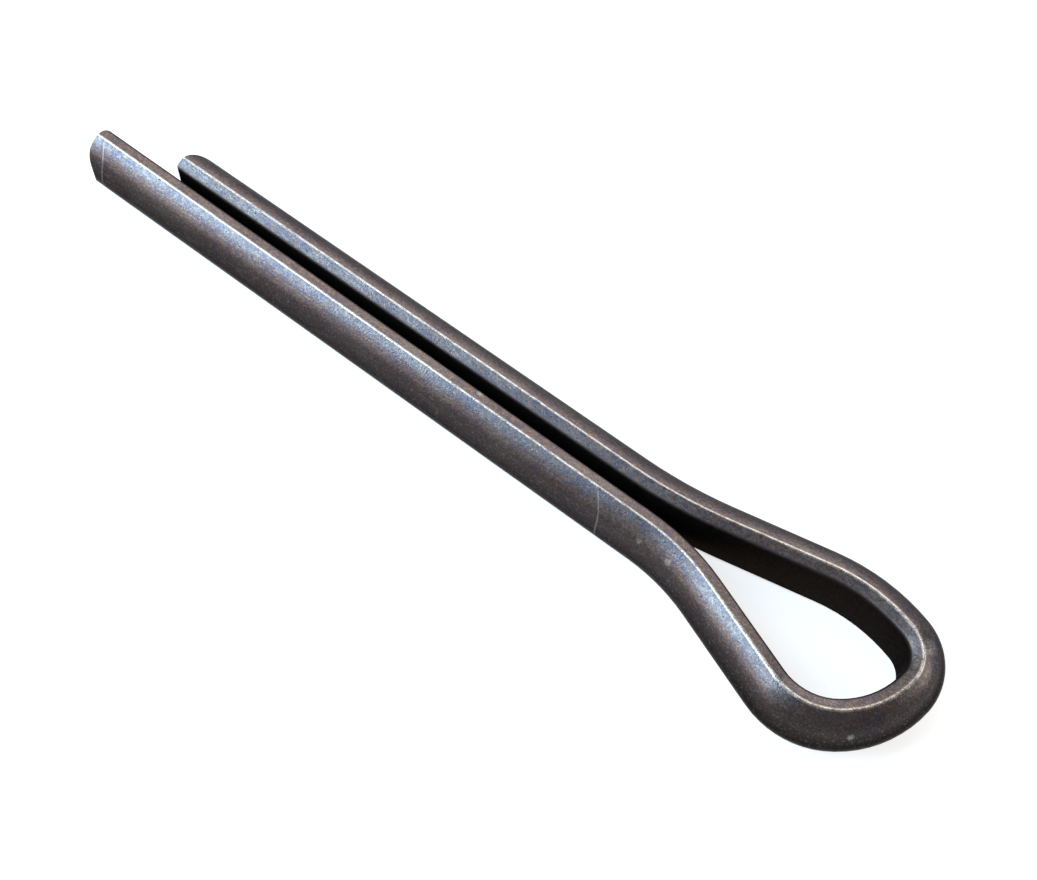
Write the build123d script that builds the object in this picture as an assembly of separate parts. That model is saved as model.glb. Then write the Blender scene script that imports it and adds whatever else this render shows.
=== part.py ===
from build123d import *
from math import atan2, cos, degrees, radians, sin
import os

# Split cotter pin: one length of half-round steel wire folded back on itself,
# flat side in, with a long teardrop eye at the fold and one leg longer than
# the other. It lies on its side: X runs along the legs towards the eye, Y runs
# from the long leg to the short one, and Z is up. Millimetres.

# Wire section. The flat faces inwards; beside it, above and below, a narrow
# band rises to a crease, and the rest is one round back.
wire_height = 7.4          # across the flat, which is the closed pin's diameter
wire_thickness = 3.83      # from the flat to the top of the round back
band_width = 1.22          # from the flat to the crease
band_drop = 0.34           # how far each band falls from the crease to the flat
crease_radius = 0.15       # softened crease
corner_radius = 0.45       # softened corner between the flat and each band

# Legs. The gap is between the two flats.
long_leg = 68.6            # straight length, from the long side's neck to its tip
short_leg = 55.9           # straight length, from the short side's neck to its tip
gap_at_tips = 0.7
gap_at_neck = 1.22

# Eye, bent a little lopsided: radii are those of the flat, and each turn is
# in degrees. The long side leaves its leg steeply and the short side gently.
long_neck_turn = 20.5
long_neck_radius = 24.7
long_flank = 10.2
long_shoulder_turn = 57.7
long_shoulder_radius = 5.6
end_turn = 46.4
end_radius = 8.1
crown_turn = 79.0
crown_radius = 2.7
short_shoulder_radius = 16.9
short_neck_turn = 11.6
short_neck_radius = 50.7

# Tips, rounded as seen from above: much on the back and a little on the flat.
long_tip_back_radius = 1.5
long_tip_flat_radius = 0.8
short_tip_back_radius = 2.6
short_tip_flat_radius = 0.4
cutter_margin = 0.3        # how far a cutting shape runs past the wire, less than the gap


def wire_section():
    """Half of the section's outline, mirrored, as a face: X out of the flat, Y up."""
    half = wire_height / 2
    rise = wire_thickness - band_width
    back_radius = (half**2 + rise**2) / (2 * rise)
    back_angle = degrees(atan2(half, back_radius - rise))
    crease = (band_width, half)
    back = CenterArc((wire_thickness - back_radius, 0), back_radius, 0, back_angle)
    band = Line(crease, (0, half - band_drop))
    flat = Line((0, half - band_drop), (0, 0))
    floor = Line((0, 0), (wire_thickness, 0))
    upper = make_face(Wire([back, band, flat, floor]))
    whole = upper + mirror(upper, about=Plane.XZ)
    corners = [v for v in whole.vertices() if abs(v.X) < 1e-6 and abs(v.Y) > corner_radius]
    whole = fillet(corners, corner_radius)
    creases = [v for v in whole.vertices() if abs(v.X - band_width) < 1e-6 and abs(v.Y) > corner_radius]
    return fillet(creases, crease_radius).face()


def leg_slope():
    """Angle in degrees by which each leg leans in towards its tip."""
    return degrees(atan2((gap_at_neck - gap_at_tips) / 2, long_leg))


def onward(run, length):
    """A straight run that carries on from the end of another."""
    return Line(run @ 1, run @ 1 + (run % 1) * length)


def bend(run, radius, turn):
    """A tangent bend that carries on from a run; a positive turn is to the left."""
    return JernArc(run @ 1, run % 1, radius, turn)


def flat_line():
    """The line of the flat seen from above, from the long tip round to the short one."""
    slope = leg_slope()
    heading = Vector(1, 0).rotate(Axis.Z, -slope)
    start = Vector(0, -gap_at_neck / 2) - heading * long_leg
    leg = Line(start, start + heading * long_leg)
    neck = bend(leg, long_neck_radius, -long_neck_turn)
    flank = onward(neck, long_flank)
    shoulder = bend(flank, long_shoulder_radius, long_shoulder_turn)
    end = bend(shoulder, end_radius, end_turn)
    crown = bend(end, crown_radius, crown_turn)
    turned = -slope - long_neck_turn + long_shoulder_turn + end_turn + crown_turn
    short_heading = 180 + slope
    far_turn = short_heading + short_neck_turn - turned
    far_shoulder = bend(crown, short_shoulder_radius, far_turn)

    # The short flank is as long as it takes to bring the short neck to its gap.
    flank_angle = radians(short_heading + short_neck_turn)
    neck_drop = short_neck_radius * (cos(radians(short_heading)) - cos(flank_angle))
    to_gap = gap_at_neck / 2 - (far_shoulder @ 1).Y - neck_drop
    far_flank = onward(far_shoulder, to_gap / sin(flank_angle))
    far_neck = bend(far_flank, short_neck_radius, -short_neck_turn)
    far_leg = onward(far_neck, short_leg)
    return [leg, neck, flank, shoulder, end, crown, far_shoulder, far_flank, far_neck, far_leg]


def corner_cutter(tip, inward, outward, radius):
    """What rounding leaves off one corner of a tip, as an upright prism."""
    plane = Plane(origin=tip, x_dir=inward, z_dir=inward.cross(outward))
    side = radius + cutter_margin
    middle = (radius - cutter_margin) / 2
    block = Pos(middle, middle) * Rectangle(side, side)
    keep = Pos(radius, radius) * Circle(radius)
    return extrude(plane * (block - keep), wire_height / 2 + cutter_margin, both=True)


def rounded_tip(pin, end, inward, outward, back_radius, flat_radius):
    """Rounds both corners of the tip whose flat ends at the given point."""
    back = end + outward * wire_thickness
    pin -= corner_cutter(back, inward, outward * -1, back_radius)
    pin -= corner_cutter(end, inward, outward, flat_radius)
    return pin


def cotter_pin():
    """The folded wire, swept along its flat and rounded at both tips."""
    runs = flat_line()
    path = Wire(runs)
    up = Vector(0, 0, 1)
    heading, last_heading = path % 0, path % 1
    across = Plane(origin=path @ 0, x_dir=heading.cross(up), z_dir=heading)
    pin = sweep(across * wire_section(), path=path)
    pin = rounded_tip(pin, path @ 0, heading, heading.cross(up),
                      long_tip_back_radius, long_tip_flat_radius)
    pin = rounded_tip(pin, path @ 1, last_heading * -1, last_heading.cross(up),
                      short_tip_back_radius, short_tip_flat_radius)
    return pin.solid()


def on_its_side(pin):
    """Lays the pin down with the middle of its footprint at the origin."""
    box = pin.bounding_box()
    middle = box.center()
    return Pos(-middle.X, -middle.Y, -box.min.Z) * pin


os.makedirs("parts", exist_ok=True)
pin = on_its_side(cotter_pin())
pin.label = "cotter_pin"
export_step(pin, "parts/cotter_pin.step")
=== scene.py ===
import math

import bpy
from mathutils import Matrix, Vector
from mathutils.bvhtree import BVHTree


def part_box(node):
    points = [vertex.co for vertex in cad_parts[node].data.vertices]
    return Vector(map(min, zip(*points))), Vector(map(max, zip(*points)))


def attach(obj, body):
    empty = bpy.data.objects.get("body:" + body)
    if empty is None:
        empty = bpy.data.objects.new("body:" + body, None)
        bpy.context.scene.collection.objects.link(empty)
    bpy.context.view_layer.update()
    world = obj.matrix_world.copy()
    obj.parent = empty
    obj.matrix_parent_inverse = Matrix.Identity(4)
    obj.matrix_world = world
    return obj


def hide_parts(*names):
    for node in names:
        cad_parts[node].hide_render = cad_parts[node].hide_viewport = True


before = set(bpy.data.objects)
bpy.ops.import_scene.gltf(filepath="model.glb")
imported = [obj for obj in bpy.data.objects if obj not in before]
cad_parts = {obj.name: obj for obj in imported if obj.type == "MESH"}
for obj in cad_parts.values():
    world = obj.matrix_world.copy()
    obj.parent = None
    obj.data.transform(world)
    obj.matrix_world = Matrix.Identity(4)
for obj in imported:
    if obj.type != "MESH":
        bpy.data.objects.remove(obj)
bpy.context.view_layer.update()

# A split cotter pin of half-round wire, lying on its side on a pale table.
# Lengths are in metres.

MM = 0.001
NODE = "cotter_pin"
LOW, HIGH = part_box(NODE)

# Sizes of the wire that the finish follows. Depths are measured from the flat.
WIRE_HEIGHT = HIGH.z - LOW.z
CREASE_DEPTH = 1.22 * MM
CORNER_DEPTH = 0.45 * MM        # where the flat's rounded corner ends
CLEAR_OF_EDGE = 0.02 * MM       # closer than this counts as on the flat or on the crease
BACK_SHADE_START = 2.3 * MM          # painted shade darkens the scale from here
BACK_SHADE_END = 3.7 * MM            # to here, on the round of the back
EYE_START = 0.45 * HIGH.x       # the legs give way to the round of the eye from here
EYE_END = 0.78 * HIGH.x         # to here

# The rims of the tips. Their points are so close together that the bevel is held back
# and reaches under 0.005 mm.
RIM_WIDTH = 0.30 * MM
RIM_ANGLE = 50.0                # degrees; a sharper edge is bevelled
SMOOTH_ANGLE = 32.0             # degrees; a sharper edge stays crisp

# Colours of the finish.
BROWN_SCALE = (0.104, 0.080, 0.071, 1)
COOL_SCALE = (0.074, 0.067, 0.082, 1)
GREY_SCALE = (0.112, 0.098, 0.094, 1)
# Painted shade, darkest on the round of the back.
SHADED_BACK_SCALE = (0.018, 0.0145, 0.013, 1)
SHADED_FLAT_SCALE = (0.042, 0.036, 0.032, 1)       # painted shade on the flat between the legs
DARK_GRAIN = (0.036, 0.029, 0.028, 1)
PALE_GRAIN = (0.20, 0.185, 0.185, 1)
PIT = (0.025, 0.02, 0.019, 1)
HAIRLINE = (0.22, 0.205, 0.20, 1)
SCRATCH = (0.34, 0.32, 0.30, 1)
# Pale specks, and a painted glint on the end of the eye.
SPECK_AND_GLINT = (0.30, 0.30, 0.29, 1)
# Partly bare steel worn along the crease, partly a painted highlight there.
BARE_STEEL_AND_HIGHLIGHT = (0.50, 0.475, 0.43, 1)
EDGE_TINT = (0.42, 0.42, 0.42, 1)           # of what it reflects when seen edge-on
# Painted shade on the flat between the legs, in what it reflects edge-on.
SHADED_FLAT_EDGE_TINT = (0.10, 0.10, 0.10, 1)

# Heights of the relief, in millimetres.
MOTTLE_HEIGHT = 0.007
STREAK_HEIGHT = 0.008
GRAIN_HEIGHT = 0.022
HAIRLINE_DROP = 0.004
PIT_DROP = 0.006

# Marks of use: two scratches round the long leg's back, given by their foot and lean, and
# a few pale specks, given by place and radius. The last, on the end of the eye, is a painted
# glint.
ROUND_SCRATCHES = ((15.2 * MM, 1.7 * MM), (-47.4 * MM, 1.2 * MM))
PALE_SPECKS_AND_GLINT = (
    (Vector((45.3, -6.0, 5.7)) * MM, 0.45 * MM),
    (Vector((19.5, -2.5, 6.2)) * MM, 0.40 * MM),
    (Vector((22.9, -2.7, 6.4)) * MM, 0.45 * MM),
    (Vector((-1.1, 0.2, 7.1)) * MM, 0.50 * MM),
    # A painted glint on the end of the eye.
    (Vector((46.4, 4.9, 7.1)) * MM, 1.10 * MM),
)

# Camera, placed about the point that it looks at.
AIM = Vector((3.794, -0.191, 3.7)) * MM
CAMERA_DISTANCE = 181.32 * MM
CAMERA_TURN = 35.153            # degrees round from straight in front, towards the eye
CAMERA_RISE = 64.844            # degrees above the table
CAMERA_ROLL = 2.49              # degrees
LENS = 65.5                     # millimetres
SENSOR = 36.0                   # millimetres

# Table and room.
TABLE_SIZE = 40.0
TABLE_GREY = (0.40, 0.40, 0.40, 1)
TABLE_GLOW = 0.72               # to the eye and in reflections only
ROOM_COLOUR = (1.0, 0.97, 0.95, 1)
ROOM_LIGHT = 0.42


# ---------------------------------------------------------------- helpers

def deselect_all():
    for item in bpy.context.selected_objects:
        item.select_set(False)


def make_active(piece):
    deselect_all()
    piece.select_set(True)
    bpy.context.view_layer.objects.active = piece


def direction(turn, rise):
    """Unit vector that far round from straight in front and that far above the table."""
    turn, rise = math.radians(turn), math.radians(rise)
    across = math.cos(rise)
    return Vector((math.sin(turn) * across, -math.cos(turn) * across, math.sin(rise)))


class Finish:
    """A material and short ways to add and join its nodes."""

    def __init__(self, name):
        self.material = bpy.data.materials.new(name)
        self.material.use_nodes = True
        self.tree = self.material.node_tree
        self.tree.nodes.clear()
        self.out = self.node("ShaderNodeOutputMaterial")

    def node(self, kind, **settings):
        made = self.tree.nodes.new(kind)
        for key, value in settings.items():
            setattr(made, key, value)
        return made

    def put(self, value, socket):
        if hasattr(value, "is_linked"):
            self.tree.links.new(value, socket)
        else:
            socket.default_value = value

    def math(self, operation, first, second=0.0, clamp=False):
        made = self.node("ShaderNodeMath", operation=operation, use_clamp=clamp)
        self.put(first, made.inputs[0])
        self.put(second, made.inputs[1])
        return made.outputs[0]

    def step(self, value, low, high, start=0.0, end=1.0):
        """Smooth change from start to end while value goes from low to high."""
        made = self.node("ShaderNodeMapRange", interpolation_type="SMOOTHSTEP")
        self.put(value, made.inputs["Value"])
        self.put(low, made.inputs["From Min"])
        self.put(high, made.inputs["From Max"])
        self.put(start, made.inputs["To Min"])
        self.put(end, made.inputs["To Max"])
        return made.outputs["Result"]

    def blend(self, amount, first, second):
        """Colour that goes from first to second."""
        made = self.node("ShaderNodeMix", data_type="RGBA")
        self.put(amount, made.inputs[0])
        self.put(first, made.inputs[6])
        self.put(second, made.inputs[7])
        return made.outputs[2]

    def noise(self, place, size, detail=4.0, roughness=0.55, seed=0.0):
        """Cloudy pattern whose features are about the given size."""
        made = self.node("ShaderNodeTexNoise", noise_dimensions="4D")
        self.put(place, made.inputs["Vector"])
        self.put(seed, made.inputs["W"])
        self.put(1.0 / size, made.inputs["Scale"])
        self.put(detail, made.inputs["Detail"])
        self.put(roughness, made.inputs["Roughness"])
        return made.outputs["Fac"]

    def stretched(self, place, scale):
        made = self.node("ShaderNodeMapping")
        self.put(place, made.inputs["Vector"])
        self.put(scale, made.inputs["Scale"])
        return made.outputs["Vector"]

    def near(self, place, point, radius):
        """One at a point, fading to nothing at the radius."""
        made = self.node("ShaderNodeVectorMath", operation="DISTANCE")
        self.put(place, made.inputs[0])
        self.put(point, made.inputs[1])
        return self.step(made.outputs["Value"], radius * 0.3, radius, 1.0, 0.0)


# ---------------------------------------------------------------- the wire

def joined_copy(node, name):
    """A copy of a frame node with its loose triangles joined up."""
    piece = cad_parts[node].copy()
    piece.data = piece.data.copy()
    piece.name = name
    piece.data.name = name
    piece.parent = None
    piece.matrix_world = Matrix.Identity(4)
    for key in list(piece.keys()):
        del piece[key]
    bpy.context.scene.collection.objects.link(piece)
    make_active(piece)
    bpy.ops.object.mode_set(mode="EDIT")
    bpy.ops.mesh.select_all(action="SELECT")
    bpy.ops.mesh.remove_doubles(threshold=1e-6)
    bpy.ops.object.mode_set(mode="OBJECT")
    return piece


def flat_of(mesh):
    """The wire's flat as a search tree: its faces stand upright over most of the height."""
    corners, faces = [], []
    for face in mesh.polygons:
        points = [mesh.vertices[i].co for i in face.vertices]
        rise = max(p.z for p in points) - min(p.z for p in points)
        on_tip = face.center.x < 0 and abs(face.normal.x) > 0.05
        if abs(face.normal.z) < 0.02 and rise > 0.7 * WIRE_HEIGHT and not on_tip:
            faces.append(tuple(range(len(corners), len(corners) + len(points))))
            corners.extend(points)
    return BVHTree.FromPolygons(corners, faces)


def mark_depth(piece):
    """Stores how far each point of the wire lies from its flat, for the finish to follow."""
    mesh = piece.data
    flat = flat_of(mesh)
    middle = (LOW.z + HIGH.z) / 2
    depth = mesh.attributes.new("depth", "FLOAT", "POINT")
    for vertex in mesh.vertices:
        level = Vector((vertex.co.x, vertex.co.y, middle))
        nearest, normal, _, _ = flat.find_nearest(level)
        depth.data[vertex.index].value = abs((level - nearest).dot(normal))


def smooth_wire(piece):
    """Soft shading over the bends, and crisp rims at the tips with a trace of a bevel."""
    make_active(piece)
    rim = piece.modifiers.new("rim", "BEVEL")
    rim.width = RIM_WIDTH
    rim.segments = 3
    rim.limit_method = "ANGLE"
    rim.angle_limit = math.radians(RIM_ANGLE)
    bpy.ops.object.modifier_apply(modifier="rim")
    bpy.ops.object.shade_smooth_by_angle(angle=math.radians(SMOOTH_ANGLE))
    even = piece.modifiers.new("even", "WEIGHTED_NORMAL")
    even.keep_sharp = True
    even.weight = 80
    bpy.ops.object.modifier_apply(modifier="even")


def round_scratch(finish, parts, depth, foot, lean):
    """A curved scratch round the long leg's back, by its foot and its lean at the crease."""
    half = WIRE_HEIGHT / 2
    climb = finish.math("SUBTRACT", parts.outputs["Z"], half)
    climb = finish.math("DIVIDE", climb, half, clamp=True)
    curve = finish.math("MULTIPLY", finish.math("POWER", climb, 4.0), lean)
    line = finish.math("SUBTRACT", foot, curve)
    off_line = finish.math("ABSOLUTE", finish.math("SUBTRACT", parts.outputs["X"], line))
    mark = finish.step(off_line, 0.02 * MM, 0.11 * MM, 1.0, 0.0)
    mark = finish.math("MULTIPLY", mark, finish.step(depth, 1.3 * MM, 1.7 * MM))
    return finish.math("MULTIPLY", mark, finish.math("LESS_THAN", parts.outputs["Y"], 0.0))


def hair_scratches(finish, place, turn, seed):
    """Faint straight hairlines, turned from the wire's length."""
    made = finish.node("ShaderNodeMapping")
    finish.put(place, made.inputs["Vector"])
    made.inputs["Rotation"].default_value = (0.0, 0.0, math.radians(turn))
    made.inputs["Scale"].default_value = (0.10, 1.0, 1.0)
    lines = finish.noise(made.outputs["Vector"], 0.20 * MM, detail=1.0, seed=seed)
    return finish.step(lines, 0.62, 0.70)


def scale_colour(finish, parts, depth, mottle, clouds, grain):
    """Brown and cooler patches, with painted shade darkest on the round of the back, with dark
    and pale grain.
    """
    scale = finish.blend(finish.step(mottle, 0.40, 0.60), BROWN_SCALE, COOL_SCALE)
    scale = finish.blend(finish.step(clouds, 0.40, 0.66), scale, GREY_SCALE)
    # Painted shade on the round of the back, heavier on the eye.
    back_shade = finish.step(depth, BACK_SHADE_START, BACK_SHADE_END)
    more_shade_on_eye = finish.step(parts.outputs["X"], EYE_START, EYE_END, 0.72, 0.95)
    scale = finish.blend(finish.math("MULTIPLY", back_shade, more_shade_on_eye), scale, SHADED_BACK_SCALE)
    scale = finish.blend(finish.step(grain, 0.58, 0.40, 0.0, 0.42), scale, DARK_GRAIN)
    return finish.blend(finish.step(grain, 0.54, 0.70, 0.0, 0.45), scale, PALE_GRAIN)


def with_marks(finish, scale, place, parts, depth, grain):
    """The scale with its round scratches, pale specks and a painted glint."""
    for foot, lean in ROUND_SCRATCHES:
        mark = round_scratch(finish, parts, depth, foot, lean)
        scale = finish.blend(finish.math("MULTIPLY", mark, 0.36), scale, SCRATCH)
    broken = finish.step(grain, 0.35, 0.6, 0.3, 1.0)
    # The last speck is a painted glint on the end of the eye.
    for point, radius in PALE_SPECKS_AND_GLINT:
        mark = finish.math("MULTIPLY", finish.near(place, point, radius), broken)
        scale = finish.blend(finish.math("MULTIPLY", mark, 0.6), scale, SPECK_AND_GLINT)
    return scale


def crease_wear_and_highlight(finish, parts, depth, streaks):
    """A thin bare line along the crease, partly wear and partly a painted highlight, wider round
    the eye and broken by the streaks.
    """
    off_crease = finish.math("ABSOLUTE", finish.math("SUBTRACT", depth, CREASE_DEPTH))
    reach = finish.step(parts.outputs["X"], EYE_START, EYE_END, 0.14 * MM, 0.26 * MM)
    on_crease = finish.step(off_crease, CLEAR_OF_EDGE, reach, 1.0, 0.0)
    return finish.math("MULTIPLY", on_crease, finish.step(streaks, 0.30, 0.62, 0.30, 0.9))


def surface_relief(finish, mottle, streaks, grain, hairs, pits):
    """Shading normal of the raised mottle, streaks and grain, and the sunk hairlines and pits."""
    relief = finish.math("MULTIPLY", mottle, MOTTLE_HEIGHT)
    relief = finish.math("ADD", relief, finish.math("MULTIPLY", streaks, STREAK_HEIGHT))
    relief = finish.math("ADD", relief, finish.math("MULTIPLY", grain, GRAIN_HEIGHT))
    relief = finish.math("SUBTRACT", relief, finish.math("MULTIPLY", hairs, HAIRLINE_DROP))
    relief = finish.math("SUBTRACT", relief, finish.math("MULTIPLY", pits, PIT_DROP))
    bump = finish.node("ShaderNodeBump")
    bump.inputs["Strength"].default_value = 1.0
    bump.inputs["Distance"].default_value = MM
    finish.put(relief, bump.inputs["Height"])
    return bump.outputs["Normal"]


def oxidised_steel():
    """Dark brown scale on drawn steel: mottled, finely scuffed, worn bare along the crease with a
    painted highlight there, and painted shade on the round of the back and on the flat.
    """
    finish = Finish("oxidised_steel")
    place = finish.node("ShaderNodeTexCoord").outputs["Object"]
    depth = finish.node("ShaderNodeAttribute", attribute_name="depth").outputs["Fac"]
    parts = finish.node("ShaderNodeSeparateXYZ")
    finish.put(place, parts.inputs[0])

    along = finish.stretched(place, (0.55, 1.0, 1.0))
    clouds = finish.noise(along, 2.6 * MM, detail=4.0, seed=1.0)
    mottle = finish.noise(place, 0.7 * MM, detail=4.0, seed=2.0)
    streaks = finish.noise(along, 0.30 * MM, detail=3.0, roughness=0.6, seed=3.0)
    grain = finish.noise(place, 0.20 * MM, detail=3.0, roughness=0.65, seed=4.0)
    pits = finish.step(finish.noise(place, 0.30 * MM, detail=2.0, seed=5.0), 0.64, 0.74)
    hairs = finish.math("MAXIMUM", hair_scratches(finish, place, 24.0, 6.0),
                        hair_scratches(finish, place, -33.0, 7.0))

    scale = scale_colour(finish, parts, depth, mottle, clouds, grain)
    scale = finish.blend(finish.math("MULTIPLY", pits, 0.5), scale, PIT)
    scale = finish.blend(finish.math("MULTIPLY", hairs, 0.10), scale, HAIRLINE)
    scale = with_marks(finish, scale, place, parts, depth, grain)
    # Partly wear, partly a painted highlight along the crease.
    worn_and_highlight = crease_wear_and_highlight(finish, parts, depth, streaks)
    scale = finish.blend(worn_and_highlight, scale, BARE_STEEL_AND_HIGHLIGHT)
    on_flat = finish.step(depth, CLEAR_OF_EDGE, CORNER_DEPTH, 1.0, 0.0)

    rough = finish.step(streaks, 0.3, 0.7, 0.25, 0.38)
    rough = finish.math("ADD", rough, finish.math("MULTIPLY", pits, 0.15), clamp=True)
    rough = finish.math("SUBTRACT", rough, finish.math("MULTIPLY", worn_and_highlight, 0.10), clamp=True)
    rough = finish.math("ADD", rough, finish.math("MULTIPLY", on_flat, 0.15), clamp=True)

    steel = finish.node("ShaderNodeBsdfPrincipled")
    steel.inputs["Metallic"].default_value = 1.0
    # Painted shade on the flat between the legs darkens its colour and its edge tint.
    finish.put(finish.blend(on_flat, scale, SHADED_FLAT_SCALE), steel.inputs["Base Color"])
    finish.put(finish.blend(on_flat, EDGE_TINT, SHADED_FLAT_EDGE_TINT), steel.inputs["Specular Tint"])
    finish.put(rough, steel.inputs["Roughness"])
    finish.put(surface_relief(finish, mottle, streaks, grain, hairs, pits),
               steel.inputs["Normal"])
    finish.put(steel.outputs[0], finish.out.inputs["Surface"])
    return finish.material


def make_wire():
    wire = joined_copy(NODE, "folded_wire")
    smooth_wire(wire)
    mark_depth(wire)
    wire.data.materials.clear()
    wire.data.materials.append(oxidised_steel())
    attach(wire, "root")
    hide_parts(NODE)


# ---------------------------------------------------------------- table, light and camera

def pale_table():
    """White to the eye and in reflections, and plain matt white where light falls on it."""
    finish = Finish("pale_table")
    seen = finish.node("ShaderNodeLightPath")
    matt = finish.node("ShaderNodeBsdfDiffuse")
    matt.inputs["Color"].default_value = TABLE_GREY
    glow = finish.node("ShaderNodeEmission")
    glow.inputs["Color"].default_value = (1, 1, 1, 1)
    shows = finish.math("MAXIMUM", seen.outputs["Is Camera Ray"], seen.outputs["Is Glossy Ray"])
    shows = finish.math("MAXIMUM", shows, seen.outputs["Is Transmission Ray"])
    finish.put(finish.math("MULTIPLY", shows, TABLE_GLOW), glow.inputs["Strength"])
    both = finish.node("ShaderNodeAddShader")
    finish.put(matt.outputs[0], both.inputs[0])
    finish.put(glow.outputs[0], both.inputs[1])
    finish.put(both.outputs[0], finish.out.inputs["Surface"])
    return finish.material


def make_table():
    deselect_all()
    bpy.ops.mesh.primitive_plane_add(size=TABLE_SIZE, location=(0, 0, LOW.z))
    table = bpy.context.object
    table.name = "table"
    table.data.materials.append(pale_table())


def area_lamp(name, turn, rise, distance, size, power, colour, roll=0.0):
    """A soft lamp that looks at the pin from the given turn, rise and distance."""
    data = bpy.data.lights.new(name, "AREA")
    data.shape = "RECTANGLE"
    data.size, data.size_y = size
    data.energy = power
    data.color = colour
    lamp = bpy.data.objects.new(name, data)
    toward = direction(turn, rise)
    lamp.location = AIM + toward * distance
    facing = toward.to_track_quat("Z", "Y").to_matrix().to_4x4()
    lamp.rotation_euler = (facing @ Matrix.Rotation(math.radians(roll), 4, "Z")).to_euler()
    bpy.context.scene.collection.objects.link(lamp)


def make_light():
    area_lamp("window", turn=-53.0, rise=50.0, distance=1.2, size=(0.44, 0.84),
              power=20.0, colour=(0.52, 0.76, 1.0), roll=46.0)
    area_lamp("near wall", turn=-38.0, rise=20.0, distance=1.2, size=(0.80, 0.45),
              power=3.6, colour=(1.0, 0.93, 0.95))
    area_lamp("ceiling", turn=-141.0, rise=71.0, distance=1.2, size=(0.5, 0.5),
              power=2.2, colour=(1.0, 0.97, 0.9))
    area_lamp("far wall", turn=-163.0, rise=27.0, distance=1.3, size=(1.2, 0.8),
              power=10.0, colour=(1.0, 0.95, 0.93))
    area_lamp("side wall", turn=125.0, rise=28.0, distance=1.3, size=(0.8, 0.6),
              power=4.5, colour=(1.0, 0.95, 0.93))
    world = bpy.data.worlds.new("studio")
    world.use_nodes = True
    room = world.node_tree.nodes["Background"]
    room.inputs["Color"].default_value = ROOM_COLOUR
    room.inputs["Strength"].default_value = ROOM_LIGHT
    bpy.context.scene.world = world


def make_camera():
    data = bpy.data.cameras.new("camera")
    data.sensor_fit = "HORIZONTAL"
    data.sensor_width = SENSOR
    data.lens = LENS
    data.clip_start = 0.01
    camera = bpy.data.objects.new("camera", data)
    toward = direction(CAMERA_TURN, CAMERA_RISE)
    camera.location = AIM + toward * CAMERA_DISTANCE
    upright = toward.to_track_quat("Z", "Y").to_matrix().to_4x4()
    roll = Matrix.Rotation(math.radians(CAMERA_ROLL), 4, "Z")
    camera.rotation_euler = (upright @ roll).to_euler()
    bpy.context.scene.collection.objects.link(camera)
    bpy.context.scene.camera = camera


make_wire()
make_table()
make_light()
make_camera()
bpy.context.scene.view_settings.view_transform = "Standard"
